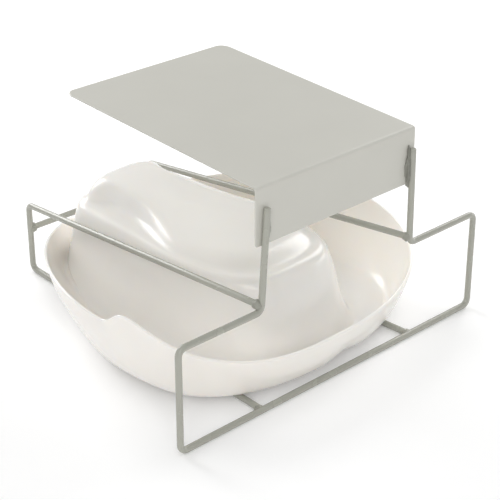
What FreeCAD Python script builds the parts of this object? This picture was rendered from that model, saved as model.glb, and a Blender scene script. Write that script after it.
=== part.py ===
import FreeCAD, Part
import math
import os

# Bedpan kept upside down in a bent-wire rack.  The rack hangs or stands: a painted sheet plate
# slips between bed frame and mattress, and the wire cage under it carries the pan.
# The shapes are drawn from the front frame's plane (y = 0) and then moved by CENTRE_SHIFT_Y, so
# that the origin is on the floor under the middle of the whole object.  +X along the front
# frame, +Y towards the back of the rack, +Z up.  Millimetres.

# ---- driving dimensions: wire rack -------------------------------------------------------
WIRE_D = 6.0                  # every wire is the same round bar
BEND_R = 7.0                  # centreline radius of the wire bends
BASE_WIDTH = 375.0            # centreline width of the base rail
SHOULDER_Z = 102.0            # centreline height of the shoulders
NECK_WIDTH = 189.0            # centreline distance of the posts at the shoulders
POST_TOP_Z = 197.0            # top of the posts
LEFT_POST_TOP_X = -88.0       # the left post leans in a little
RIGHT_POST_TOP_X = 93.0

REAR_Y = 357.0                # rear legs of the side wires
SIDE_FRONT_Z = 110.0          # side wires meet the posts here
SIDE_REAR_Z = 75.0            # and slope down to the rear legs
LEFT_FRONT_X = -98.0          # side wires sit as welded, a few millimetres off the post axes
RIGHT_FRONT_X = 91.0
REAR_X = 79.0                 # rear legs, both sides
LEFT_RAIL_X = -93.0           # where the bottom runs meet the base rail
RIGHT_RAIL_X = 101.0
CROSS_Z = 49.0                # rear cross wire

# ---- driving dimensions: hanger plate ----------------------------------------------------
PLATE_WIDTH = 197.0
PLATE_DEPTH = 255.0
PLATE_TOP_Z = 216.0           # at the front bend
PLATE_RISE = 3.0              # degrees, the plate rises towards its back edge
FLANGE_HEIGHT = 54.0
SHEET_T = 1.5
SHEET_BEND_R = 1.5            # inner radius of the bend
REAR_CORNER_R = 11.0
FLANGE_CORNER_R = 3.0

# ---- driving dimensions: pan -------------------------------------------------------------
PAN_WALL = 2.5
PAN_CLEARANCE = 0.3           # between the wires and the underside of the pan
PAN_TURN = 4.0                # degrees, how the pan lies in the rack
PAN_TURN_Y = 157.0            # the point it is turned about, on the middle line
RIM_HALF_WIDTH = 180.7
RIM_FRONT_Y = -5.5
RIM_BACK_Y = 343.0
RIM_FRONT_Z = 44.9
RIM_RISE = 0.38               # slope of the rim at the front
RIM_ARCH = 0.00085            # how it arches over along the sides
RIM_FALL = 0.41e-6            # and falls more steeply at the back
LIP_Y = 120.0                 # a lip starts here with a sharp notch in the left rim
LIP_HEIGHT = 17.0
LIP_LENGTH = 20.0             # from the notch forward to the lip's peak
KEEL_LIFT = 28.0              # the underside lifts off the wires towards the back
KEEL_LIFT_Y = 180.0
KEEL_LIFT_LENGTH = 140.0
GROOVE_X = 8.0                # shallow pouring groove across the front of the underside
GROOVE_HALF_WIDTH = 22.0
GROOVE_DEPTH = 6.0
GROOVE_END_Y = 120.0
CENTRE_FRONT_Y = 60.0         # heights of the raised centre are given at this line
CREASE_FRONT_Z = 84.5         # the ledge round the raised centre
CREASE_SLOPE = 0.035
CROWN_FRONT_Z = 95.0          # its top, which slopes up and then steps up over the deep bowl
CROWN_SLOPE = 0.05
CROWN_STEP = 7.5
CROWN_STEP_Y = 150.0
CROWN_STEP_LENGTH = 120.0
NARROW_Y = 145.0              # behind this line the deep bowl is narrower than the ledge
NARROW_LENGTH = 90.0
WIDEN_Y = 262.0               # and near its back it widens again
WIDEN_LENGTH = 36.0
WIDEN_SHARE = 0.85
CAP_Y = 196.0                 # middle of the crown
RING_POINTS = 84

CENTRE_SHIFT_Y = -178.0       # half way between the pan's front rim and the rear legs

WIRE_R = WIRE_D / 2
FLOOR_WIRE_Z = WIRE_R         # centreline of wires that lie on the floor
FLANGE_Y = WIRE_R             # front face of the flange touches the back of the posts
WELD_R = 5.4


def V(x, y, z):
    return FreeCAD.Vector(x, y, z)


# ---- wires -------------------------------------------------------------------------------
def bent_path(points, radius):
    """Straight runs through the points, with a tangent arc of the given radius at each corner."""
    edges = []
    start = points[0]
    for before, corner, after in zip(points, points[1:], points[2:]):
        to_before = (before - corner).normalize()
        to_after = (after - corner).normalize()
        half_angle = to_before.getAngle(to_after) / 2
        reach = radius / math.tan(half_angle)
        arc_start = corner + to_before * reach
        arc_end = corner + to_after * reach
        to_centre = (to_before + to_after).normalize()
        arc_middle = corner + to_centre * (radius / math.sin(half_angle) - radius)
        edges.append(Part.LineSegment(start, arc_start).toShape())
        edges.append(Part.Arc(arc_start, arc_middle, arc_end).toShape())
        start = arc_end
    edges.append(Part.LineSegment(start, points[-1]).toShape())
    return Part.Wire(edges)


def bent_wire(points):
    """Round bar swept along a bent path."""
    path = bent_path(points, BEND_R)
    direction = (points[1] - points[0]).normalize()
    section = Part.Wire(Part.makeCircle(WIRE_R, points[0], direction))
    return path.makePipeShell([section], True, False)


def make_front_frame():
    """One bar: post, shoulder, outer leg, base rail, outer leg, shoulder, post."""
    half_base = BASE_WIDTH / 2
    half_neck = NECK_WIDTH / 2
    return bent_wire([
        V(LEFT_POST_TOP_X, 0, POST_TOP_Z),
        V(-half_neck, 0, SHOULDER_Z),
        V(-half_base, 0, SHOULDER_Z),
        V(-half_base, 0, FLOOR_WIRE_Z),
        V(half_base, 0, FLOOR_WIRE_Z),
        V(half_base, 0, SHOULDER_Z),
        V(half_neck, 0, SHOULDER_Z),
        V(RIGHT_POST_TOP_X, 0, POST_TOP_Z),
    ])


def make_side_wire(front_x, rear_x, rail_x, front_frame):
    """U-shaped bar: sloping top run, rear leg, bottom run; its ends are cut to the front frame."""
    wire = bent_wire([
        V(front_x, 0, SIDE_FRONT_Z),
        V(rear_x, REAR_Y, SIDE_REAR_Z),
        V(rear_x, REAR_Y, FLOOR_WIRE_Z),
        V(rail_x, 0, FLOOR_WIRE_Z),
    ])
    pieces = wire.cut(front_frame).Solids
    return max(pieces, key=lambda piece: piece.Volume)


def make_rear_cross_wire(legs):
    """Short bar between the two rear legs, its ends cut to them."""
    bar = Part.makeCylinder(WIRE_R, 2 * REAR_X, V(-REAR_X, REAR_Y, CROSS_Z), V(1, 0, 0))
    for leg in legs:
        bar = bar.cut(leg)
    return max(bar.Solids, key=lambda piece: piece.Volume)


def make_joint_weld(centre, wires, radius, low_z=0.0, high_z=None):
    """Fillet of weld metal: a small ball round the joint, less the wires themselves."""
    ball = Part.makeSphere(radius, centre)
    if high_z is not None:
        room = Part.makeBox(4 * radius, 4 * radius, high_z - low_z,
                            V(centre.x - 2 * radius, centre.y - 2 * radius, low_z))
        ball = ball.common(room)
    for wire in wires:
        ball = ball.cut(wire)
    return max(ball.Solids, key=lambda piece: piece.Volume)


def make_post_weld(post_x, side, length, frame, plate):
    """Bead of weld metal down one side of a post, where the post lies on the flange."""
    bead_r = 2.6
    top_z = POST_TOP_Z - 4
    centre = V(post_x + side * WIRE_R, FLANGE_Y - 1.4, top_z - length)
    bead = Part.makeCylinder(bead_r, length, centre, V(0, 0, 1))
    bead = bead.cut(frame).cut(plate)
    in_front = Part.makeBox(8 * bead_r, 4 * bead_r, 2 * length,
                            V(centre.x - 4 * bead_r, FLANGE_Y - 4 * bead_r, centre.z - length / 2))
    return max(bead.common(in_front).Solids, key=lambda piece: piece.Volume)


# ---- hanger plate ------------------------------------------------------------------------
def edges_near(shape, test):
    return [edge for edge in shape.Edges if test(edge)]


def make_hanger_plate():
    """Sheet bent once: a flange turned down at the front and a long plate that rises to the back."""
    rise = math.radians(PLATE_RISE)
    back = V(0, math.cos(rise), math.sin(rise))
    down = V(0, math.sin(rise), -math.cos(rise))
    corner = V(-PLATE_WIDTH / 2, FLANGE_Y, PLATE_TOP_Z)
    far_top = corner + back * PLATE_DEPTH
    far_under = far_top + down * SHEET_T
    under_run = (FLANGE_Y + SHEET_T - far_under.y) / back.y
    inner = far_under + back * under_run
    foot_z = PLATE_TOP_Z - FLANGE_HEIGHT
    profile = Part.makePolygon([
        corner, far_top, far_under, inner,
        V(corner.x, FLANGE_Y + SHEET_T, foot_z), V(corner.x, FLANGE_Y, foot_z), corner,
    ])
    sheet = Part.Face(profile).extrude(V(PLATE_WIDTH, 0, 0))

    def along_x_at(edge, point):
        middle = edge.CenterOfMass
        near = abs(middle.y - point.y) < 0.1 and abs(middle.z - point.z) < 0.1
        return near and edge.Length > PLATE_WIDTH / 2

    outer_bend = edges_near(sheet, lambda edge: along_x_at(edge, corner))
    sheet = sheet.makeFillet(SHEET_BEND_R + SHEET_T, outer_bend)
    inner_bend = edges_near(sheet, lambda edge: along_x_at(edge, inner))
    sheet = sheet.makeFillet(SHEET_BEND_R, inner_bend)

    def through_sheet(edge):
        return abs(edge.Length - SHEET_T) < 0.1

    rear = edges_near(sheet, lambda edge: through_sheet(edge) and edge.CenterOfMass.y > PLATE_DEPTH / 2)
    sheet = sheet.makeFillet(REAR_CORNER_R, rear)
    low = edges_near(sheet, lambda edge: through_sheet(edge) and edge.CenterOfMass.z < foot_z + 1)
    return sheet.makeFillet(FLANGE_CORNER_R, low)


# ---- pan ---------------------------------------------------------------------------------
def smooth(share):
    """Goes from 0 to 1 without a corner at either end."""
    share = min(1.0, max(0.0, share))
    return share * share * (3 - 2 * share)


def rim_z(x, y):
    """Height of the rim: low at the front, arched over the sides, with a notched lip on the left."""
    run = y - RIM_FRONT_Y
    height = RIM_FRONT_Z + RIM_RISE * run - RIM_ARCH * run ** 2 - RIM_FALL * run ** 3
    if x < 0 and y < LIP_Y:
        along_lip = (LIP_Y - y) / LIP_LENGTH
        height += LIP_HEIGHT * along_lip * math.exp(1 - along_lip)
    return height


def keel_z(x, y):
    """Height of the underside: flat on the wires, lifting at the back, grooved at the front."""
    height = WIRE_D + PAN_CLEARANCE + KEEL_LIFT * smooth((y - KEEL_LIFT_Y) / KEEL_LIFT_LENGTH)
    across = (x - GROOVE_X) / GROOVE_HALF_WIDTH
    if y < GROOVE_END_Y and abs(across) < 1:
        height += GROOVE_DEPTH * (1 - across * across) ** 2
    return height


def crease_z(x, y):
    return CREASE_FRONT_Z + CREASE_SLOPE * (y - CENTRE_FRONT_Y)


def crown_z(x, y):
    step = CROWN_STEP * smooth((y - CROWN_STEP_Y) / CROWN_STEP_LENGTH)
    return CROWN_FRONT_Z + CROWN_SLOPE * (y - CENTRE_FRONT_Y) + step


def cap_z(x, y):
    """The last ring is level, so that a flat face closes it."""
    return crown_z(0, CAP_Y) + 2


def between(low, high, share):
    """A height part of the way from one to another."""
    return lambda x, y: low(x, y) + share * (high(x, y) - low(x, y))


def above(height, step):
    return lambda x, y: height(x, y) + step


def narrowing(y):
    """How much of a ring's waist applies at y."""
    widened = 1 - WIDEN_SHARE * smooth((y - WIDEN_Y) / WIDEN_LENGTH)
    return smooth((y - NARROW_Y) / NARROW_LENGTH) * widened


# Each ring of the outer skirt and of the raised centre: half width, front, back, middle line,
# squareness at the front and at the back, its height, and the share by which it narrows at its
# waist.  The skirt's rings give its outer side and the centre's rings its upper side.
SKIRT_RINGS = [
    (RIM_HALF_WIDTH, RIM_FRONT_Y, RIM_BACK_Y, 144, 2.68, 1.66, rim_z, 0),
    (180, -5, 342, 144, 2.68, 1.66, above(rim_z, -3), 0),
    (173, -3, 338, 138, 2.6, 1.75, between(keel_z, rim_z, 0.66), 0),
    (163, 1, 333, 123, 2.45, 1.9, between(keel_z, rim_z, 0.32), 0.04),
    (154, 7, 329, 108, 2.35, 2.1, between(keel_z, rim_z, 0.08), 0.09),
    (143, 13, 326, 102, 2.25, 2.3, keel_z, 0.11),
    (128, 19, 322, 112, 2.25, 2.5, keel_z, 0.09),
]
CENTRE_RINGS = [
    (104, 26, 317, 150, 2.7, 3.2, above(keel_z, 0.5), 0.03),
    (91, 32, 314, 172, 3.3, 4.0, above(keel_z, 7), 0.03),
    (82.5, 38, 311, 178, 3.5, 4.5, between(keel_z, crease_z, 0.36), 0),
    (77.5, 44, 310, 180, 3.5, 4.5, between(keel_z, crease_z, 0.68), 0.03),
    (75, 50, 309, 180, 3.5, 4.5, above(crease_z, -9), 0.07),
    (73, 54, 307, 180, 3.5, 4.5, above(crease_z, -1), 0.10),
    (70.5, 60, 305, 182, 3.4, 4.3, above(crease_z, 2), 0.12),
    (69, 65, 303.5, 184, 3.3, 4.3, above(crease_z, 2.2), 0.30),
    (66, 71, 302, 186, 3.2, 4.2, between(crease_z, crown_z, 0.30), 0.38),
    (60, 81, 298.5, 188, 3.0, 3.8, between(crease_z, crown_z, 0.85), 0.40),
    (50, 97, 290, 190, 2.7, 3.1, above(crown_z, 1), 0.38),
    (34, 130, 262, 192, 2.4, 2.6, above(crown_z, 1.5), 0.3),
    (14, 172, 222, 196, 2.0, 2.0, above(crown_z, 2), 0.1),
    (4, 191, 201, CAP_Y, 2.0, 2.0, cap_z, 0),
]


def pan_ring(half_width, front_y, back_y, middle_y, front_power, back_power, height, waist):
    """Closed curve like an ellipse with fuller corners; each half has its own squareness."""
    points = []
    for step in range(RING_POINTS):
        angle = 2 * math.pi * step / RING_POINTS - math.pi / 2
        across = math.cos(angle)
        along = math.sin(angle)
        power = front_power if along < 0 else back_power
        reach = middle_y - front_y if along < 0 else back_y - middle_y
        fullness = (abs(across) ** power + abs(along) ** power) ** (-1 / power)
        y = middle_y + reach * along * fullness
        x = half_width * across * fullness * (1 - waist * narrowing(y))
        points.append(V(x, y, height(x, y)))
    return points


def shifted_ring(ring, grow, lift):
    half_width, front_y, back_y, middle_y, front_power, back_power, height, waist = ring
    return pan_ring(half_width + grow, front_y - grow, back_y + grow, middle_y,
                    front_power, back_power, above(height, lift), waist)


def skin(rings, degree):
    """Smooth surface with the rings as its control rows: closed round the pan, open from row to row."""
    columns = [list(column) for column in zip(*rings)]
    spans = len(rings) - degree
    surface = Part.BSplineSurface()
    surface.buildFromPolesMultsKnots(
        columns,
        [1] * (RING_POINTS + 1),
        [degree + 1] + [1] * (spans - 1) + [degree + 1],
        [float(knot) for knot in range(RING_POINTS + 1)],
        [float(knot) for knot in range(spans + 1)],
        True, False, 3, degree)
    return surface


def flat_cap(surface):
    """Flat face that closes the last, small ring on the crown."""
    last_row = surface.bounds()[3]
    return Part.Face(Part.Wire(surface.vIso(last_row).toShape()))


def make_bedpan():
    """Thin shell: one skin over the top and one under it, joined round the rim."""
    upper_rings = [shifted_ring(ring, -PAN_WALL, 0 if ring is SKIRT_RINGS[0] else PAN_WALL)
                   for ring in SKIRT_RINGS]
    upper_rings += [shifted_ring(ring, 0, PAN_WALL) for ring in CENTRE_RINGS]
    under_rings = [shifted_ring(ring, 0, 0) for ring in SKIRT_RINGS]
    under_rings += [shifted_ring(ring, -PAN_WALL, 0) for ring in CENTRE_RINGS]
    upper = skin(upper_rings, 3)
    under = skin(under_rings, 3)
    rim_edge = skin([upper_rings[0], under_rings[0]], 1)
    faces = [surface.toShape() for surface in (upper, under, rim_edge)]
    faces += [flat_cap(upper), flat_cap(under)]
    shell = Part.Shell(faces)
    shell.sewShape()
    solid = Part.Solid(shell)
    if solid.Volume < 0:
        solid.reverse()
    solid.rotate(V(0, PAN_TURN_Y, 0), V(0, 0, 1), PAN_TURN)
    return solid


# ---- assembly ----------------------------------------------------------------------------
def make_parts():
    frame = make_front_frame()
    left = make_side_wire(LEFT_FRONT_X, -REAR_X, LEFT_RAIL_X, frame)
    right = make_side_wire(RIGHT_FRONT_X, REAR_X, RIGHT_RAIL_X, frame)
    cross = make_rear_cross_wire([left, right])
    plate = make_hanger_plate()
    wires = [frame, left, right, cross]
    low = FLOOR_WIRE_Z
    return {
        "front_frame": frame,
        "left_side_wire": left,
        "right_side_wire": right,
        "rear_cross_wire": cross,
        "hanger_plate": plate,
        "left_post_weld": make_post_weld(LEFT_POST_TOP_X - 1, 1, 26, frame, plate),
        "right_post_weld": make_post_weld(RIGHT_POST_TOP_X, -1, 30, frame, plate),
        "left_shoulder_weld": make_joint_weld(V(LEFT_FRONT_X + 1, 2, SIDE_FRONT_Z), wires, WELD_R),
        "right_shoulder_weld": make_joint_weld(V(RIGHT_FRONT_X + 1, 2, SIDE_FRONT_Z), wires, WELD_R),
        "left_rail_weld": make_joint_weld(V(LEFT_RAIL_X, 3, low), wires, WELD_R, 0, WIRE_D),
        "right_rail_weld": make_joint_weld(V(RIGHT_RAIL_X, 3, low), wires, WELD_R, 0, WIRE_D),
        "left_rear_weld": make_joint_weld(V(3 - REAR_X, REAR_Y, CROSS_Z), wires, WELD_R),
        "right_rear_weld": make_joint_weld(V(REAR_X - 3, REAR_Y, CROSS_Z), wires, WELD_R),
        "bedpan": make_bedpan(),
    }


os.makedirs("parts", exist_ok=True)
for name, shape in make_parts().items():
    shape.translate(V(0, CENTRE_SHIFT_Y, 0))
    box = shape.BoundBox
    print(f"{name}: valid {shape.isValid()}, solids {len(shape.Solids)}, volume {shape.Volume:.0f},",
          f"x {box.XMin:.1f} {box.XMax:.1f}, y {box.YMin:.1f} {box.YMax:.1f}, z {box.ZMin:.1f} {box.ZMax:.1f}")
    shape.exportStep(f"parts/{name}.step")
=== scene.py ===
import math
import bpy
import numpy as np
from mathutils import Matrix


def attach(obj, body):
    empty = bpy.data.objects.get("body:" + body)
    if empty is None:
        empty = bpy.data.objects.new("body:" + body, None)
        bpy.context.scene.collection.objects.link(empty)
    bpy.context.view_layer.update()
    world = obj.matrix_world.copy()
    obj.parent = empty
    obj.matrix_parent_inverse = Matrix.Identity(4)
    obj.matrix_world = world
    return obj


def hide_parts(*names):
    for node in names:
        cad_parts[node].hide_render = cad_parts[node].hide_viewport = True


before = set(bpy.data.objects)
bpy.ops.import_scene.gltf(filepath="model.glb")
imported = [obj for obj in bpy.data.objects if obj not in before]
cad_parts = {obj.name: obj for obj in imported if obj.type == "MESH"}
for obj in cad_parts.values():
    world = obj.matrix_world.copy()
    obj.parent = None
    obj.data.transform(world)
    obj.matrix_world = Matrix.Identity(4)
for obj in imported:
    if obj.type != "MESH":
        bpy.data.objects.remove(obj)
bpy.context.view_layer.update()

# %% [markdown]
# # A bedpan in its wire rack
# A ward keeps a clean bedpan at the bed in a rack of bent wire.  The rack's sheet plate slips
# between the bed frame and the mattress, and the cage below it carries the pan upside down.
# This lesson builds the looks of that object around a finished design: the frame that was just
# loaded holds the true sizes, and every piece made here goes exactly where the frame has it.

MM = 0.001
SHIFT_Y = -178.0 * MM            # the design is drawn from the front frame, then centred


def print_piece(piece):
    print(piece.name, len(piece.data.vertices), "vertices", len(piece.data.polygons), "faces")


# %% [markdown]
# ## A mesh from a grid
# Almost every piece here is one surface worked out as an array of points: rows run one way
# over the piece and columns the other.  Building it face by face with an operator would be
# slow and hard to read, so one helper turns any such array into a mesh.  It can close the
# grid across its rows, as on a tube, and it can close each end with a fan on one last point.

# %% Grid to mesh
def mesh_from_grid(name, grid, close_rows=False, cap_start=False, cap_end=False):
    """Grid of points (rows, columns, 3) joined by quads.

    close_rows joins the last column back to the first; a cap joins a whole end row to its
    middle point.  Faces wind so that row direction x column direction points outwards."""
    rows, columns, _ = grid.shape
    points = grid.reshape(-1, 3)
    index = np.arange(rows * columns).reshape(rows, columns)
    if close_rows:
        index = np.concatenate([index, index[:, :1]], axis=1)
    quads = np.stack([index[:-1, :-1], index[1:, :-1], index[1:, 1:], index[:-1, 1:]], -1)
    faces = quads.reshape(-1, 4).tolist()
    if cap_start:
        centre = len(points)
        points = np.vstack([points, grid[0].mean(0)])
        faces += [(centre, int(a), int(b)) for a, b in zip(index[0, :-1], index[0, 1:])]
    if cap_end:
        centre = len(points)
        points = np.vstack([points, grid[-1].mean(0)])
        faces += [(centre, int(b), int(a)) for a, b in zip(index[-1, :-1], index[-1, 1:])]
    mesh = bpy.data.meshes.new(name)
    mesh.from_pydata(points.tolist(), [], faces)
    mesh.polygons.foreach_set("use_smooth", [True] * len(mesh.polygons))
    mesh.update()
    piece = bpy.data.objects.new(name, mesh)
    bpy.context.scene.collection.objects.link(piece)
    return piece


# %% [markdown]
# ## A bent wire
# The rack is made of one thickness of round steel bar, bent cold round a small former and
# then welded.  A curve object with a bevel would do, but its bends come from handles that
# have to be guessed.  Carrying a circle along straight runs and true arcs keeps each bend at
# the former's radius, as the bender makes it.

# %% Path of a bent bar
WIRE_R = 3.0 * MM
BEND_R = 7.0 * MM


def bent_path(corners, bend_radius, arc_steps=10, run_steps=24):
    """Points along straight runs joined by tangent arcs.

    At a corner with half angle h the arc starts radius / tan(h) before the corner, and its
    points are the circle about the point radius / sin(h) along the bisector."""
    corners = [np.array(corner, float) for corner in corners]
    path = [corners[0]]
    for before, corner, after in zip(corners, corners[1:], corners[2:]):
        back = (before - corner) / np.linalg.norm(before - corner)
        ahead = (after - corner) / np.linalg.norm(after - corner)
        half = math.acos(np.clip(back @ ahead, -1, 1)) / 2
        reach = bend_radius / math.tan(half)
        bisector = (back + ahead) / np.linalg.norm(back + ahead)
        centre = corner + bisector * bend_radius / math.sin(half)
        start = corner + back * reach - centre
        finish = corner + ahead * reach - centre
        sweep = math.pi - 2 * half
        share = np.linspace(0, 1, arc_steps)[:, None]
        arc = (np.sin((1 - share) * sweep) * start + np.sin(share * sweep) * finish) / math.sin(sweep)
        run = np.linspace(path[-1], centre + arc[0], run_steps)[1:-1]
        path += list(run) + list(centre + arc)
    path += list(np.linspace(path[-1], corners[-1], run_steps)[1:])
    return np.array(path)


# %% Round bar along a path
def round_bar(name, path, radius, sides=28, end_round=0.35, end_rings=4):
    """Circle of the given radius carried along the path, its ends rounded over.

    The circle's first axis is carried from point to point by removing its part along the
    new direction, so the tube doesn't twist.  The second axis is first x ahead, which turns
    the columns the way that makes the faces look outwards."""
    ahead = np.gradient(path, axis=0)
    ahead /= np.linalg.norm(ahead, axis=1)[:, None]
    side = np.cross(ahead[0], [0.3, 0.9, 0.3])
    carried = []
    for direction in ahead:
        side = side - direction * (side @ direction)
        side = side / np.linalg.norm(side)
        carried.append(side)
    first = np.array(carried)
    second = np.cross(first, ahead)
    edge = radius * end_round
    turn = np.linspace(0, math.pi / 2, end_rings + 1)[:-1]
    inset = (edge * (1 - np.cos(turn)))[:, None]
    end_radii = radius - edge + edge * np.sin(turn)
    centres = np.vstack([path[0] + ahead[0] * inset, path[1:-1], path[-1] - ahead[-1] * inset[::-1]])
    radii = np.concatenate([end_radii, np.full(len(path) - 2, radius), end_radii[::-1]])
    pick = np.concatenate([np.zeros(end_rings, int), np.arange(1, len(path) - 1),
                           np.full(end_rings, len(path) - 1)])
    angle = np.linspace(0, 2 * math.pi, sides, endpoint=False)[None, :, None]
    ring = first[pick][:, None] * np.cos(angle) + second[pick][:, None] * np.sin(angle)
    grid = centres[:, None] + ring * radii[:, None, None]
    return mesh_from_grid(name, grid, close_rows=True, cap_start=True, cap_end=True)


# %% [markdown]
# ## The four wires
# The front frame is one long bar: down a post, out along a shoulder, down the outer leg, along
# the floor and back up the other side.  Two U-shaped side wires run from the posts to the back
# and return under the pan, and a short cross wire ties their rear legs.  Their corners are the
# design's own, so each new bar lies inside the one that it stands for.

# %% Wires
def at(x, y, z):
    """A place in the design's millimetres, in the row frame's metres."""
    return np.array([x * MM, y * MM + SHIFT_Y, z * MM])


BASE_WIDTH = 375.0               # middle to middle of the outer legs
SHOULDER_Z = 102.0
NECK_WIDTH = 189.0               # middle to middle of the posts at the shoulders
POST_TOP_Z = 197.0
LEFT_POST_TOP_X = -88.0          # the left post leans in a little more than the right one
RIGHT_POST_TOP_X = 93.0
FLOOR_WIRE_Z = 3.0               # middle of a wire that lies on the floor
SIDE_FRONT_Y = 0.5
SIDE_FRONT_Z = 110.0             # the side wires meet the posts here
SIDE_REAR_Z = 75.0               # and slope down to the rear legs
LEFT_FRONT_X = -98.0
RIGHT_FRONT_X = 91.0
LEFT_RAIL_X = -93.0              # where the bottom runs meet the base rail
RIGHT_RAIL_X = 101.0
REAR_X = 79.0
REAR_Y = 357.0
CROSS_HALF_WIDTH = 78.0
CROSS_Z = 49.0


def side_corners(front_x, rear_x, rail_x):
    """A side wire: back along the top, down the rear leg and forward along the floor."""
    return [at(front_x, SIDE_FRONT_Y, SIDE_FRONT_Z), at(rear_x, REAR_Y, SIDE_REAR_Z),
            at(rear_x, REAR_Y, FLOOR_WIRE_Z), at(rail_x, SIDE_FRONT_Y, FLOOR_WIRE_Z)]


FRONT_CORNERS = [at(LEFT_POST_TOP_X, 0, POST_TOP_Z), at(-NECK_WIDTH / 2, 0, SHOULDER_Z),
                 at(-BASE_WIDTH / 2, 0, SHOULDER_Z), at(-BASE_WIDTH / 2, 0, FLOOR_WIRE_Z),
                 at(BASE_WIDTH / 2, 0, FLOOR_WIRE_Z), at(BASE_WIDTH / 2, 0, SHOULDER_Z),
                 at(NECK_WIDTH / 2, 0, SHOULDER_Z), at(RIGHT_POST_TOP_X, 0, POST_TOP_Z)]
LEFT_CORNERS = side_corners(LEFT_FRONT_X, -REAR_X, LEFT_RAIL_X)
RIGHT_CORNERS = side_corners(RIGHT_FRONT_X, REAR_X, RIGHT_RAIL_X)
CROSS_CORNERS = [at(-CROSS_HALF_WIDTH, REAR_Y, CROSS_Z), at(CROSS_HALF_WIDTH, REAR_Y, CROSS_Z)]

wires = {}
for node, corners in [("front_frame", FRONT_CORNERS), ("left_side_wire", LEFT_CORNERS),
                      ("right_side_wire", RIGHT_CORNERS), ("rear_cross_wire", CROSS_CORNERS)]:
    bar = round_bar(node + "_bar", bent_path(corners, BEND_R), WIRE_R)
    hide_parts(node)
    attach(bar, "rack")
    wires[node] = bar
    print_piece(bar)

# %% [markdown]
# ## The hanger plate
# A flat blank of 1.5 mm sheet with its corners rounded, bent once to turn a flange down at the
# front.  A box with bevels would show the bend as a separate block.  Here the blank is a flat
# cross-section, a thin stadium shape, carried along the sheet's side view, so the sheet keeps
# its thickness through the bend and its cut edges are softly rounded as paint leaves them.

# %% Side view of the sheet
SHEET_T = 1.5 * MM
PLATE_WIDTH = 197 * MM
PLATE_DEPTH = 255 * MM
FLANGE_HEIGHT = 54 * MM
PLATE_RISE = math.radians(3)
BEND_MIDDLE_R = 2.25 * MM        # radius of the middle of the sheet through the bend
FLANGE_Y = 3.0                   # the flange touches the back of the posts
PLATE_TOP_Z = 216.0              # height of the top at the front bend
FLANGE_CORNER_R = 3 * MM
REAR_CORNER_R = 11 * MM
FLAT_STEPS = 40
BEND_STEPS = 14


def sheet_side_view():
    """Middle line of the sheet from the flange's foot over the bend to the back edge.

    Returns points and the outward normal; the steps are small at both ends, where the
    corners are rounded, and through the bend."""
    front = at(0, FLANGE_Y, PLATE_TOP_Z)
    foot = front + np.array([0, SHEET_T / 2, -FLANGE_HEIGHT])
    up = np.array([0, 0, 1.0])
    away = np.array([0, math.cos(PLATE_RISE), math.sin(PLATE_RISE)])
    outward_front = np.array([0, -1.0, 0])
    outward_top = np.array([0, -math.sin(PLATE_RISE), math.cos(PLATE_RISE)])
    far = front + away * PLATE_DEPTH - outward_top * SHEET_T / 2
    # the corner is where the two middle lines meet
    corner_z = front[2] + math.tan(PLATE_RISE) * SHEET_T / 2 - SHEET_T / 2 / math.cos(PLATE_RISE)
    corner = np.array([0, foot[1], corner_z])
    half = (math.pi / 2 + PLATE_RISE) / 2
    reach = BEND_MIDDLE_R / math.tan(half)
    bend_start = corner - up * reach
    bend_end = corner + away * reach
    centre = bend_start - outward_front * BEND_MIDDLE_R
    ease = (1 - np.cos(np.linspace(0, math.pi, FLAT_STEPS))) / 2
    flange = foot + (bend_start - foot) * ease[:, None]
    top = bend_end + (far - bend_end) * ease[:, None]
    turn = np.linspace(0, math.pi / 2 - PLATE_RISE, BEND_STEPS)[1:-1, None]
    normals_bend = outward_front * np.cos(turn) + up * np.sin(turn)
    points = np.vstack([flange, centre + normals_bend * BEND_MIDDLE_R, top])
    normals = np.vstack([np.tile(outward_front, (FLAT_STEPS, 1)), normals_bend,
                         np.tile(outward_top, (FLAT_STEPS, 1))])
    return points, normals


# %% Sheet from its side view
def corner_narrowing(distance, radius):
    """How far the outline stands in at a distance from the end: a quarter circle."""
    d = np.clip(distance, 0, radius)
    return radius - np.sqrt(radius ** 2 - (radius - d) ** 2)


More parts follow.
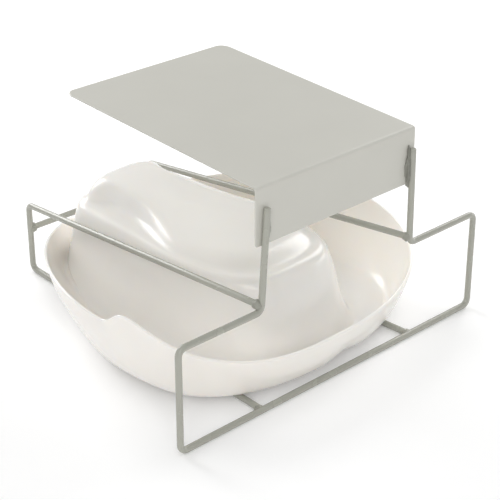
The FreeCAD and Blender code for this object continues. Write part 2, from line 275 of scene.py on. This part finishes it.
def build_plate(name, edge_steps=6, across_steps=36):
    """Thin stadium section carried along the side view.

    Its half width follows the rounded corners, and over the last half thickness at each end
    the section thins away on a quarter circle."""
    points, normals = sheet_side_view()
    gone = np.concatenate([[0], np.cumsum(np.linalg.norm(np.diff(points, axis=0), axis=1))])
    length = gone[-1]
    half_t = SHEET_T / 2
    turn = np.linspace(0, math.pi / 2, edge_steps)[:-1]
    extra = half_t * (1 - np.cos(turn))
    keep = (gone > half_t) & (gone < length - half_t)
    stations = np.concatenate([extra, gone[keep], length - extra[::-1]])
    thin = np.concatenate([np.sin(turn), np.ones(keep.sum()), np.sin(turn)[::-1]]) * half_t
    thin = np.maximum(thin, 0.002 * MM)
    line = np.stack([np.interp(stations, gone, points[:, k]) for k in range(3)], -1)
    out = np.stack([np.interp(stations, gone, normals[:, k]) for k in range(3)], -1)
    out /= np.linalg.norm(out, axis=1)[:, None]
    half_width = PLATE_WIDTH / 2 - corner_narrowing(stations, FLANGE_CORNER_R)
    half_width -= corner_narrowing(length - stations, REAR_CORNER_R)
    across = np.sin(np.linspace(-math.pi / 2, math.pi / 2, across_steps))
    round_edge = np.linspace(math.pi / 2, -math.pi / 2, 9)[1:-1]
    flat_x = (half_width - thin)[:, None] * across[None]
    edge_x = (half_width - thin)[:, None] + thin[:, None] * np.cos(round_edge)[None]
    edge_n = thin[:, None] * np.sin(round_edge)[None]
    x = np.concatenate([flat_x, edge_x, -flat_x, -edge_x], axis=1)
    n = np.concatenate([np.repeat(thin[:, None], across_steps, 1), edge_n,
                        -np.repeat(thin[:, None], across_steps, 1), -edge_n], axis=1)
    grid = line[:, None] + out[:, None] * n[..., None]
    grid[..., 0] = x
    # the columns run backwards, so that the faces look outwards
    return mesh_from_grid(name, grid[:, ::-1], close_rows=True, cap_start=True, cap_end=True)


plate = build_plate("hanger_plate_sheet")
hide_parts("hanger_plate")
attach(plate, "rack")
print_piece(plate)

# %% [markdown]
# ## Weld beads
# The rack is welded by hand, and the beads were painted over.  Each one is a small lump with
# ripples where the metal froze.  A plain ball would look moulded, so the ball's radius is
# changed by a few slow waves in different directions, with a different set for every bead.

# %% Lumpy bead
BEAD_RINGS = 34
BEAD_SEGMENTS = 44
WAVE_PACE = 3.2                  # how quickly the slow waves change over the ball
TORCH_PACE = 15                  # how closely the torch's rings lie
LUMPY = 0.12
SMOOTH_RAIL = 0.02               # the rail's beads are nearly smooth


def weld_bead(name, node, centre, radii, seed, ripple=0.10, waves=7, ripple_rows=0.0):
    """Ellipsoid whose radius is 1 + a sum of slow sine waves over the sphere's directions.

    ripple_rows adds evenly spaced rings along the long axis, as a moving torch leaves."""
    rng = np.random.default_rng(seed)
    polar = np.linspace(0.0, math.pi, BEAD_RINGS)[1:-1]
    around = np.linspace(0, 2 * math.pi, BEAD_SEGMENTS, endpoint=False)
    direction = np.stack([np.sin(polar)[:, None] * np.cos(around)[None],
                          np.sin(polar)[:, None] * np.sin(around)[None],
                          np.repeat(np.cos(polar)[:, None], BEAD_SEGMENTS, 1)], -1)
    swell = np.zeros(direction.shape[:2])
    for _ in range(waves):
        axis = rng.normal(size=3) * WAVE_PACE
        swell += np.sin(direction @ axis + rng.uniform(0, 6.28)) * ripple / math.sqrt(waves)
    swell += ripple_rows * np.sin(direction[..., 2] * TORCH_PACE)
    grid = centre + direction * np.array(radii) * (1 + swell)[..., None]
    piece = mesh_from_grid(name, grid, close_rows=True, cap_start=True, cap_end=True)
    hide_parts(node)
    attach(piece, "rack")
    return piece


# %% All eight welds
beads = []
beads.append(weld_bead("left_post_bead", "left_post_weld", at(-85.3, 1.6, 180),
                       np.array([2.3, 1.8, 14]) * MM, 3, LUMPY, ripple_rows=0.05))
beads.append(weld_bead("right_post_bead", "right_post_weld", at(89.6, 1.4, 178),
                       np.array([3.0, 2.2, 16]) * MM, 8, 0.28, ripple_rows=0.08))
for side, x, y, z, node, seed in [
        ("left_shoulder", -97.0, 2.0, 109.0, "left_shoulder_weld", 11),
        ("right_shoulder", 92.5, 2.0, 109.0, "right_shoulder_weld", 12),
        ("left_rail", -93.5, 3.4, 3.0, "left_rail_weld", 13),
        ("right_rail", 101.5, 3.4, 3.0, "right_rail_weld", 14),
        ("left_rear", -76.0, 357.0, 49.0, "left_rear_weld", 15),
        ("right_rear", 76.0, 357.0, 49.0, "right_rear_weld", 16)]:
    on_rail = "rail" in side
    size = np.array([4.6, 4.4, 2.9 if on_rail else 4.6]) * MM
    ripple = SMOOTH_RAIL if on_rail else LUMPY
    beads.append(weld_bead(side + "_bead", node, at(x, y, z), size, seed, ripple))
for bead in beads:
    print_piece(bead)

# %% [markdown]
# ## The pan
# The pan is one thin moulding.  It lies upside down: its closed bowl stands up in the middle,
# and its seat's skirt is turned up round it as a trough.  A sculpted mesh could follow it, but
# a smooth surface with a few closed rings as its control rows is how such a shape is drawn,
# and it stays smooth at any fineness.  The rings below are the same as the design's.

# %% Sizes of the pan
PAN_WALL = 2.5
PAN_TURN = math.radians(4)       # how the pan lies in the rack
PAN_TURN_Y = 157.0               # the point it is turned about, on the middle line
RIM_HALF_WIDTH = 180.7
RIM_FRONT_Y = -5.5
RIM_BACK_Y = 343.0
RIM_FRONT_Z = 44.9
RIM_RISE = 0.38                  # slope of the rim at the front
RIM_ARCH = 0.00085               # how it arches over along the sides
RIM_FALL = 0.41e-6               # and falls more steeply at the back
LIP_Y = 120.0                    # a lip starts here with a sharp notch in the left rim
LIP_HEIGHT = 17.0
LIP_LENGTH = 20.0                # from the notch forward to the lip's peak
KEEL_Z = 6.3                     # the underside, just clear of the wires
KEEL_LIFT = 28.0                 # it lifts off them towards the back
KEEL_LIFT_Y = 180.0
KEEL_LIFT_LENGTH = 140.0
GROOVE_X = 8.0                   # shallow pouring groove across the front of the underside
GROOVE_HALF_WIDTH = 22.0
GROOVE_DEPTH = 6.0
GROOVE_END_Y = 120.0
CENTRE_FRONT_Y = 60.0            # heights of the raised centre are given at this line
CREASE_FRONT_Z = 84.5            # the ledge round the raised centre
CREASE_SLOPE = 0.035
CROWN_FRONT_Z = 95.0             # its top, which slopes up and then steps up over the deep bowl
CROWN_SLOPE = 0.05
CROWN_STEP = 7.5
CROWN_STEP_Y = 150.0
CROWN_STEP_LENGTH = 120.0
NARROW_Y = 145.0                 # behind this line the deep bowl is narrower than the ledge
NARROW_LENGTH = 90.0
WIDEN_Y = 262.0                  # and near its back it widens again
WIDEN_LENGTH = 36.0
WIDEN_SHARE = 0.85
CAP_Y = 196.0                    # middle of the crown
CAP_STEP = 2.0

# %% Heights over the pan


def smooth(share):
    """Goes from 0 to 1 without a corner at either end."""
    share = np.clip(share, 0, 1)
    return share * share * (3 - 2 * share)


def rim_z(x, y):
    """Low at the front, arched over the sides, with a notched lip on the left."""
    run = y - RIM_FRONT_Y
    along_lip = np.maximum(LIP_Y - y, 0) / LIP_LENGTH
    lip = LIP_HEIGHT * along_lip * np.exp(1 - along_lip)
    arch = RIM_FRONT_Z + RIM_RISE * run - RIM_ARCH * run ** 2 - RIM_FALL * run ** 3
    return arch + np.where(x < 0, lip, 0.0)


def keel_z(x, y):
    """Flat where it rests on the wires, lifting at the back, grooved across the front."""
    across = (x - GROOVE_X) / GROOVE_HALF_WIDTH
    groove = GROOVE_DEPTH * np.clip(1 - across * across, 0, None) ** 2
    lift = KEEL_LIFT * smooth((y - KEEL_LIFT_Y) / KEEL_LIFT_LENGTH)
    return KEEL_Z + lift + np.where(y < GROOVE_END_Y, groove, 0.0)


def crease_z(x, y):
    return CREASE_FRONT_Z + CREASE_SLOPE * (y - CENTRE_FRONT_Y)


def crown_z(x, y):
    step = CROWN_STEP * smooth((y - CROWN_STEP_Y) / CROWN_STEP_LENGTH)
    return CROWN_FRONT_Z + CROWN_SLOPE * (y - CENTRE_FRONT_Y) + step


def cap_z(x, y):
    """The last ring is level, so that its middle point closes it."""
    return np.full_like(y, crown_z(0, CAP_Y) + CAP_STEP)


def between(low, high, share):
    return lambda x, y: low(x, y) + share * (high(x, y) - low(x, y))


def above(height, step):
    return lambda x, y: height(x, y) + step


def narrowing(y):
    """How much of a ring's waist applies: the deep bowl narrows, and widens again at its back."""
    widened = 1 - WIDEN_SHARE * smooth((y - WIDEN_Y) / WIDEN_LENGTH)
    return smooth((y - NARROW_Y) / NARROW_LENGTH) * widened


# %% Control rings
# half width, front, back, middle line, squareness at the front and back, height, waist
SKIRT_RINGS = [
    (RIM_HALF_WIDTH, RIM_FRONT_Y, RIM_BACK_Y, 144, 2.68, 1.66, rim_z, 0),
    (180, -5, 342, 144, 2.68, 1.66, above(rim_z, -3), 0),
    (173, -3, 338, 138, 2.6, 1.75, between(keel_z, rim_z, 0.66), 0),
    (163, 1, 333, 123, 2.45, 1.9, between(keel_z, rim_z, 0.32), 0.04),
    (154, 7, 329, 108, 2.35, 2.1, between(keel_z, rim_z, 0.08), 0.09),
    (143, 13, 326, 102, 2.25, 2.3, keel_z, 0.11),
    (128, 19, 322, 112, 2.25, 2.5, keel_z, 0.09),
]
CENTRE_RINGS = [
    (104, 26, 317, 150, 2.7, 3.2, above(keel_z, 0.5), 0.03),
    (91, 32, 314, 172, 3.3, 4.0, above(keel_z, 7), 0.03),
    (82.5, 38, 311, 178, 3.5, 4.5, between(keel_z, crease_z, 0.36), 0),
    (77.5, 44, 310, 180, 3.5, 4.5, between(keel_z, crease_z, 0.68), 0.03),
    (75, 50, 309, 180, 3.5, 4.5, above(crease_z, -9), 0.07),
    (73, 54, 307, 180, 3.5, 4.5, above(crease_z, -1), 0.10),
    (70.5, 60, 305, 182, 3.4, 4.3, above(crease_z, 2), 0.12),
    (69, 65, 303.5, 184, 3.3, 4.3, above(crease_z, 2.2), 0.30),
    (66, 71, 302, 186, 3.2, 4.2, between(crease_z, crown_z, 0.30), 0.38),
    (60, 81, 298.5, 188, 3.0, 3.8, between(crease_z, crown_z, 0.85), 0.40),
    (50, 97, 290, 190, 2.7, 3.1, above(crown_z, 1), 0.38),
    (34, 130, 262, 192, 2.4, 2.6, above(crown_z, 1.5), 0.3),
    (14, 172, 222, 196, 2.0, 2.0, above(crown_z, 2), 0.1),
    (4, 191, 201, CAP_Y, 2.0, 2.0, cap_z, 0),
]
RING_POINTS = 84


def pan_ring(ring, grow, lift):
    """Closed curve like an ellipse with fuller corners; each half has its own squareness."""
    half_width, front_y, back_y, middle_y, front_power, back_power, height, waist = ring
    angle = 2 * math.pi * np.arange(RING_POINTS) / RING_POINTS - math.pi / 2
    across, along = np.cos(angle), np.sin(angle)
    power = np.where(along < 0, front_power, back_power)
    reach = np.where(along < 0, middle_y - front_y + grow, back_y - middle_y + grow)
    fullness = (np.abs(across) ** power + np.abs(along) ** power) ** (-1 / power)
    y = middle_y + reach * along * fullness
    x = (half_width + grow) * across * fullness * (1 - waist * narrowing(y))
    return np.stack([x, y, height(x, y) + lift], -1)


# %% Smooth surface through control rings
def closed_weights(samples, count):
    """Weights of an even cubic B-spline that runs round and closes on itself."""
    place = np.arange(samples) * count / samples
    knot = np.floor(place).astype(int)
    t = place - knot
    blend = np.stack([(1 - t) ** 3, 3 * t ** 3 - 6 * t ** 2 + 4,
                      -3 * t ** 3 + 3 * t ** 2 + 3 * t + 1, t ** 3], -1) / 6
    weights = np.zeros((samples, count))
    for k in range(4):
        weights[np.arange(samples), (knot + k - 1) % count] += blend[:, k]
    return weights


def open_weights(samples, count):
    """Weights of an even cubic B-spline that starts and ends on its first and last rows."""
    spans = count - 3
    knots = np.concatenate([[0] * 3, np.arange(spans + 1), [spans] * 3]).astype(float)
    place = np.linspace(0, spans - 1e-9, samples)[:, None]
    weights = ((place >= knots[:-1]) & (place < knots[1:])).astype(float)
    for degree in range(1, 4):
        lower = knots[degree:-1] - knots[:-degree - 1]
        upper = knots[degree + 1:] - knots[1:-degree]
        rising = np.divide(place - knots[:-degree - 1], lower, out=np.zeros_like(weights[:, :-1]),
                           where=lower > 0)
        falling = np.divide(knots[degree + 1:] - place, upper, out=np.zeros_like(weights[:, :-1]),
                            where=upper > 0)
        weights = rising * weights[:, :-1] + falling * weights[:, 1:]
    return weights


# %% Pan shell
def build_pan(name, around=336, along=270):
    """One closed skin: from the crown down the centre, through the trough, over the rim and back
    underneath, worked out as weights x control rings x weights, then turned to lie as it does."""
    upper = [pan_ring(ring, 0, PAN_WALL) for ring in CENTRE_RINGS[::-1]]
    upper += [pan_ring(ring, -PAN_WALL, PAN_WALL if ring[-2] is not rim_z else 0)
              for ring in SKIRT_RINGS[::-1]]
    under = [pan_ring(ring, 0, 0) for ring in SKIRT_RINGS]
    under += [pan_ring(ring, -PAN_WALL, 0) for ring in CENTRE_RINGS]
    rings = np.array(upper + under)
    grid = np.einsum("ui,jic,vj->vuc", closed_weights(around, RING_POINTS), rings,
                     open_weights(along, len(rings)))
    x, y = grid[..., 0].copy(), grid[..., 1] - PAN_TURN_Y
    grid[..., 0] = x * math.cos(PAN_TURN) - y * math.sin(PAN_TURN)
    grid[..., 1] = x * math.sin(PAN_TURN) + y * math.cos(PAN_TURN) + PAN_TURN_Y
    grid *= MM
    grid[..., 1] += SHIFT_Y
    return mesh_from_grid(name, grid, close_rows=True, cap_start=True, cap_end=True)


pan = build_pan("bedpan_shell")
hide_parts("bedpan")
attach(pan, "pan")
print_piece(pan)


# %% [markdown]
# ## Painted steel
# The rack has a warm grey-green powder paint.  Powder melts into a coat that is smooth but
# never flat: it has a faint orange peel, and its gloss changes a little from place to place.
# A plain colour would look like plastic, so noise drives the colour, the roughness and a very
# shallow bump, each at its own scale.

# %% Node helpers
def new_material(name):
    material = bpy.data.materials.new(name)
    material.use_nodes = True
    nodes = material.node_tree.nodes
    nodes.clear()
    output = nodes.new("ShaderNodeOutputMaterial")
    shader = nodes.new("ShaderNodeBsdfPrincipled")
    material.node_tree.links.new(shader.outputs["BSDF"], output.inputs["Surface"])
    return material, nodes, material.node_tree.links, shader


def noise(nodes, links, place, scale, detail=3.0, rough=0.5):
    texture = nodes.new("ShaderNodeTexNoise")
    texture.inputs["Scale"].default_value = scale
    texture.inputs["Detail"].default_value = detail
    texture.inputs["Roughness"].default_value = rough
    links.new(place, texture.inputs["Vector"])
    return texture.outputs["Fac"]


def ramp(nodes, links, value, stops):
    """Colour ramp: stops are (position, colour) pairs."""
    node = nodes.new("ShaderNodeValToRGB")
    elements = node.color_ramp.elements
    while len(elements) < len(stops):
        elements.new(0.5)
    for element, (position, colour) in zip(elements, stops):
        element.position = position
        element.color = (*colour, 1.0) if len(colour) == 3 else colour
    links.new(value, node.inputs["Fac"])
    return node.outputs["Color"]


def span(nodes, links, value, low, high, out_low, out_high):
    node = nodes.new("ShaderNodeMapRange")
    for key, number in zip(("From Min", "From Max", "To Min", "To Max"), (low, high, out_low, out_high)):
        node.inputs[key].default_value = number
    links.new(value, node.inputs["Value"])
    return node.outputs["Result"]


def bump(nodes, links, height, strength, distance, below=None):
    node = nodes.new("ShaderNodeBump")
    node.inputs["Strength"].default_value = strength
    node.inputs["Distance"].default_value = distance
    links.new(height, node.inputs["Height"])
    if below is not None:
        links.new(below, node.inputs["Normal"])
    return node.outputs["Normal"]


# %% Powder paint
def powder_paint(name, dark, light, peel, roughness):
    """Paint whose colour drifts slowly between dark and light, with orange peel and uneven gloss."""
    material, nodes, links, shader = new_material(name)
    place = nodes.new("ShaderNodeTexCoord").outputs["Object"]
    drift = noise(nodes, links, place, 14.0, 4.0)
    links.new(ramp(nodes, links, drift, [(0.3, dark), (0.7, light)]), shader.inputs["Base Color"])
    cloud = noise(nodes, links, place, 60.0, 4.0)
    links.new(span(nodes, links, cloud, 0.3, 0.7, *roughness), shader.inputs["Roughness"])
    fine = noise(nodes, links, place, 900.0, 2.0)
    coarse = noise(nodes, links, place, 260.0, 2.0)
    under = bump(nodes, links, coarse, 0.25, peel)
    links.new(bump(nodes, links, fine, 0.2, peel * 0.4, under), shader.inputs["Normal"])
    shader.inputs["Metallic"].default_value = 0.0
    shader.inputs["Specular IOR Level"].default_value = 0.5
    shader.inputs["Coat Weight"].default_value = 0.06
    shader.inputs["Coat Roughness"].default_value = 0.12
    return material


paint_wire = powder_paint("painted_wire",
                          (0.36, 0.36, 0.315), (0.39, 0.39, 0.34), 0.00010, (0.20, 0.30))
paint_sheet = powder_paint("painted_sheet",
                           (0.555, 0.548, 0.498), (0.57, 0.563, 0.512), 0.00002, (0.36, 0.42))
paint_weld = powder_paint("painted_weld",
                          (0.22, 0.22, 0.19), (0.36, 0.36, 0.31), 0.0006, (0.25, 0.45))
# The right post's bead sits in the crevice by the post; its colour runs down to near black as painted
# shade of that crevice.
paint_weld_crevice_shade = powder_paint("painted_weld_crevice_shade",
                                (0.07, 0.07, 0.06), (0.36, 0.36, 0.31), 0.0012, (0.3, 0.5))


# %% [markdown]
# ## White polypropylene
# The pan is moulded from ivory-white polypropylene.  Light enters it a little way, which
# softens its shadows, and its surface is glossy from the mould, with the odd tiny speck in it.
# Subsurface scattering gives the first, and low roughness with a slow waviness the second.

# %% Pan plastic
def moulded_white(name):
    material, nodes, links, shader = new_material(name)
    place = nodes.new("ShaderNodeTexCoord").outputs["Object"]
    drift = noise(nodes, links, place, 9.0, 3.0)
    body = ramp(nodes, links, drift, [(0.3, (0.855, 0.828, 0.79)), (0.7, (0.875, 0.85, 0.812))])
    specks = nodes.new("ShaderNodeTexVoronoi")
    specks.inputs["Scale"].default_value = 150.0
    links.new(place, specks.inputs["Vector"])
    speck_share = ramp(nodes, links, specks.outputs["Distance"], [(0.02, (1, 1, 1)), (0.045, (0, 0, 0))])
    rare = span(nodes, links, noise(nodes, links, place, 40.0, 1.0), 0.62, 0.66, 0.0, 0.5)
    amount = nodes.new("ShaderNodeMath")
    amount.operation = "MULTIPLY"
    links.new(speck_share, amount.inputs[0])
    links.new(rare, amount.inputs[1])
    mixer = nodes.new("ShaderNodeMix")
    mixer.data_type = "RGBA"
    links.new(amount.outputs[0], mixer.inputs["Factor"])
    links.new(body, mixer.inputs["A"])
    mixer.inputs["B"].default_value = (0.45, 0.42, 0.36, 1)
    links.new(mixer.outputs["Result"], shader.inputs["Base Color"])
    cloud = noise(nodes, links, place, 12.0, 2.0)
    links.new(span(nodes, links, cloud, 0.3, 0.7, 0.19, 0.23), shader.inputs["Roughness"])
    wave = noise(nodes, links, place, 9.0, 1.0)
    grain = noise(nodes, links, place, 800.0, 2.0)
    under = bump(nodes, links, wave, 0.15, 0.0006)
    links.new(bump(nodes, links, grain, 0.05, 0.00005, under), shader.inputs["Normal"])
    shader.inputs["Subsurface Weight"].default_value = 0.35
    shader.inputs["Subsurface Radius"].default_value = (1.0, 0.8, 0.6)
    shader.inputs["Subsurface Scale"].default_value = 0.006
    shader.inputs["IOR"].default_value = 1.49
    return material


plastic = moulded_white("white_plastic")

# %% Give every piece its finish
for bar in wires.values():
    bar.data.materials.append(paint_wire)
plate.data.materials.append(paint_sheet)
for bead in beads:
    # the right post's bead gets the near-black paint, which is painted shade in the crevice by the post
    bead.data.materials.append(paint_weld_crevice_shade if bead.name == "right_post_bead" else paint_weld)
pan.data.materials.append(plastic)

# %% [markdown]
# ## Floor, light and camera
# A pale floor and large soft lamps show the form without hard shadows, as on a catalogue
# page.  The floor glows faintly, because lamps alone would leave it grey.  The camera stands
# to the front left, looking down at about 27 degrees, with a long lens so that the rack's
# parallel wires converge only a little.

# %% Floor
FLOOR_HALF_SIDE = 6.0            # metres
FLOOR_LINES = 25
FLOOR_GLOW = 0.07


def build_floor():
    """Square grid with a slight noise colour, large enough to fill every view."""
    side = np.linspace(-FLOOR_HALF_SIDE, FLOOR_HALF_SIDE, FLOOR_LINES)
    grid = np.stack([np.repeat(side[:, None], FLOOR_LINES, 1), np.repeat(side[None], FLOOR_LINES, 0),
                     np.zeros((FLOOR_LINES, FLOOR_LINES))], -1)
    floor = mesh_from_grid("floor", grid)
    material, nodes, links, shader = new_material("pale_floor")
    place = nodes.new("ShaderNodeTexCoord").outputs["Object"]
    tone = noise(nodes, links, place, 3.0, 2.0)
    links.new(ramp(nodes, links, tone, [(0.2, (0.95, 0.95, 0.95)), (0.8, (0.97, 0.97, 0.97))]),
              shader.inputs["Base Color"])
    shader.inputs["Roughness"].default_value = 0.9
    shader.inputs["Specular IOR Level"].default_value = 0.0
    shader.inputs["Emission Color"].default_value = (1, 1, 1, 1)
    shader.inputs["Emission Strength"].default_value = FLOOR_GLOW
    floor.data.materials.append(material)
    return floor


build_floor()


# %% Lamps
def soft_lamp(name, place, aim, size, power, colour=(1, 1, 1)):
    lamp = bpy.data.lights.new(name, "AREA")
    lamp.shape = "RECTANGLE"
    lamp.size, lamp.size_y = size
    lamp.energy = power
    lamp.color = colour
    holder = bpy.data.objects.new(name, lamp)
    holder.location = place
    away = np.array(place, float) - np.array(aim, float)
    holder.rotation_euler = (math.atan2(math.hypot(away[0], away[1]), away[2]), 0,
                             math.atan2(away[0], -away[1]))
    bpy.context.scene.collection.objects.link(holder)
    return holder


CENTRE = (0.0, 0.0, 0.1)
soft_lamp("top_lamp", (-0.5, -0.6, 1.9), CENTRE, (1.8, 1.8), 7)
soft_lamp("left_lamp", (-1.7, 0.4, 1.2), CENTRE, (1.2, 1.0), 1)
soft_lamp("right_lamp", (1.7, 0.3, 1.1), CENTRE, (0.7, 1.2), 14)
soft_lamp("low_right_lamp", (1.6, -0.6, 0.45), CENTRE, (1.0, 0.5), 5)
soft_lamp("camera_side_lamp", (-1.2, -1.3, 1.0), CENTRE, (1.0, 0.8), 11.5)
soft_lamp("back_lamp", (0.0, 1.7, 1.0), CENTRE, (1.2, 0.8), 22)

world = bpy.data.worlds.new("studio")
world.use_nodes = True
world.node_tree.nodes["Background"].inputs["Color"].default_value = (1, 1, 1, 1)
world.node_tree.nodes["Background"].inputs["Strength"].default_value = 0.37
bpy.context.scene.world = world

# %% Camera
AZIMUTH = math.radians(-43.38)
ELEVATION = math.radians(26.85)
DISTANCE = 1.507
TARGET = np.array([0.062, 0.0015, 0.040])

camera = bpy.data.cameras.new("camera")
camera.sensor_width = 36
camera.lens = 107.9
eye = bpy.data.objects.new("camera", camera)
offset = np.array([math.sin(AZIMUTH) * math.cos(ELEVATION),
                   -math.cos(AZIMUTH) * math.cos(ELEVATION), math.sin(ELEVATION)])
eye.location = TARGET + offset * DISTANCE
eye.rotation_euler = (math.pi / 2 - ELEVATION, 0, AZIMUTH)
bpy.context.scene.collection.objects.link(eye)
bpy.context.scene.camera = eye
bpy.context.scene.view_settings.view_transform = "Standard"
